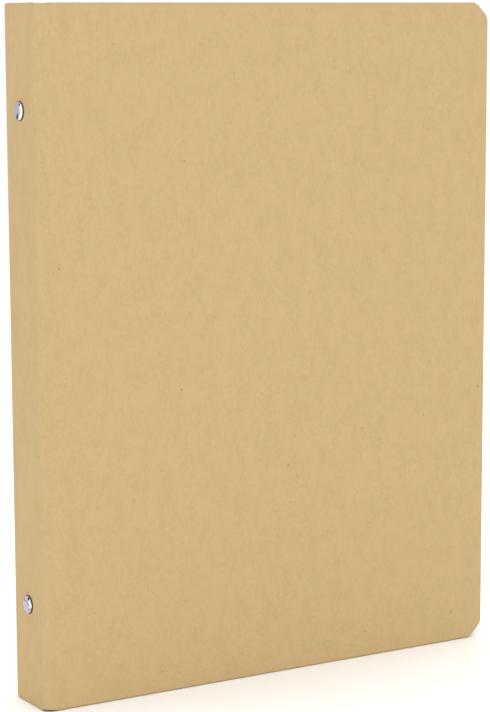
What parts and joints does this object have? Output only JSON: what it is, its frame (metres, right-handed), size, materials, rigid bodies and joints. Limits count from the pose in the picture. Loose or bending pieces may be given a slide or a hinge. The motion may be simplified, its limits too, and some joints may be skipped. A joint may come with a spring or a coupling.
{
  "type": "ring binder",
  "caption": "Upright kraft-paper loose-leaf ring binder with stiff covers that fold at the spine and a riveted steel ring mechanism with end levers.",
  "frame": {"origin": "middle of the closed binder's footprint, on the surface that it stands on", "axes": "+Z from tail to head, +X from the spine to the fore-edge, -Y out of the front cover"},
  "size_m": [0.208, 0.027, 0.268],
  "materials": {
    "kraft_paper": "matte",
    "lining_paper": "matte",
    "greyboard": "matte",
    "nickel_plate": "polished",
    "nickel_wire": "polished",
    "rivet_nickel": "polished",
    "plain_steel": "satin"
  },
  "bodies": {
    "spine": {"spine_board": "greyboard", "spine_wrap": "kraft_paper", "spine_lining": "lining_paper", "front_fold_wrap": "kraft_paper", "back_fold_wrap": "kraft_paper", "front_fold_lining": "lining_paper", "back_fold_lining": "lining_paper", "mechanism_shield": "nickel_plate", "upper_rivet": "rivet_nickel", "lower_rivet": "rivet_nickel", "upper_rivet_spacer": "plain_steel", "lower_rivet_spacer": "plain_steel", "upper_lever_pin": "nickel_plate", "lower_lever_pin": "nickel_plate"},
    "front_cover": {"front_cover_board": "greyboard", "front_cover_wrap": "kraft_paper", "front_cover_lining": "lining_paper"},
    "back_cover": {"back_cover_board": "greyboard", "back_cover_wrap": "kraft_paper", "back_cover_lining": "lining_paper"},
    "front_rings": {"front_hinge_plate": "plain_steel", "front_half_rings": "nickel_wire"},
    "back_rings": {"back_hinge_plate": "plain_steel", "back_half_rings": "nickel_wire"},
    "upper_lever": {"upper_lever": "nickel_plate"},
    "lower_lever": {"lower_lever": "nickel_plate"}
  },
  "joints": [
    {"name": "front_cover_fold", "type": "hinge", "parent": "spine", "child": "front_cover", "pos_m": [-0.1024, -0.0129, 0.134], "axis": [0, 0, -1], "range_deg": [0, 175], "deforming": ["front_fold_wrap", "front_fold_lining"]},
    {"name": "back_cover_fold", "type": "hinge", "parent": "spine", "child": "back_cover", "pos_m": [-0.1024, 0.0129, 0.134], "axis": [0, 0, 1], "range_deg": [0, 175], "deforming": ["back_fold_wrap", "back_fold_lining"]},
    {"name": "ring_opening", "type": "hinge", "parent": "spine", "child": "front_rings", "pos_m": [-0.09844, -0.006, 0.134], "axis": [0, 0, -1], "range_deg": [0, 11]},
    {"name": "back_ring_opening", "type": "hinge", "parent": "spine", "child": "back_rings", "pos_m": [-0.09844, 0.006, 0.134], "axis": [0, 0, 1], "range_deg": [0, 11]},
    {"name": "upper_lever_pivot", "type": "hinge", "parent": "spine", "child": "upper_lever", "pos_m": [-0.0986, 0, 0.258], "axis": [0, -1, 0], "range_deg": [0, 20]},
    {"name": "lower_lever_pivot", "type": "hinge", "parent": "spine", "child": "lower_lever", "pos_m": [-0.0986, 0, 0.01], "axis": [0, 1, 0], "range_deg": [0, 20]}
  ],
  "couplings": [
    {"joint": "back_ring_opening", "follows": "ring_opening", "ratio": 1},
    {"joint": "upper_lever_pivot", "follows": "ring_opening", "ratio": 1.818},
    {"joint": "lower_lever_pivot", "follows": "ring_opening", "ratio": 1.818}
  ]
}
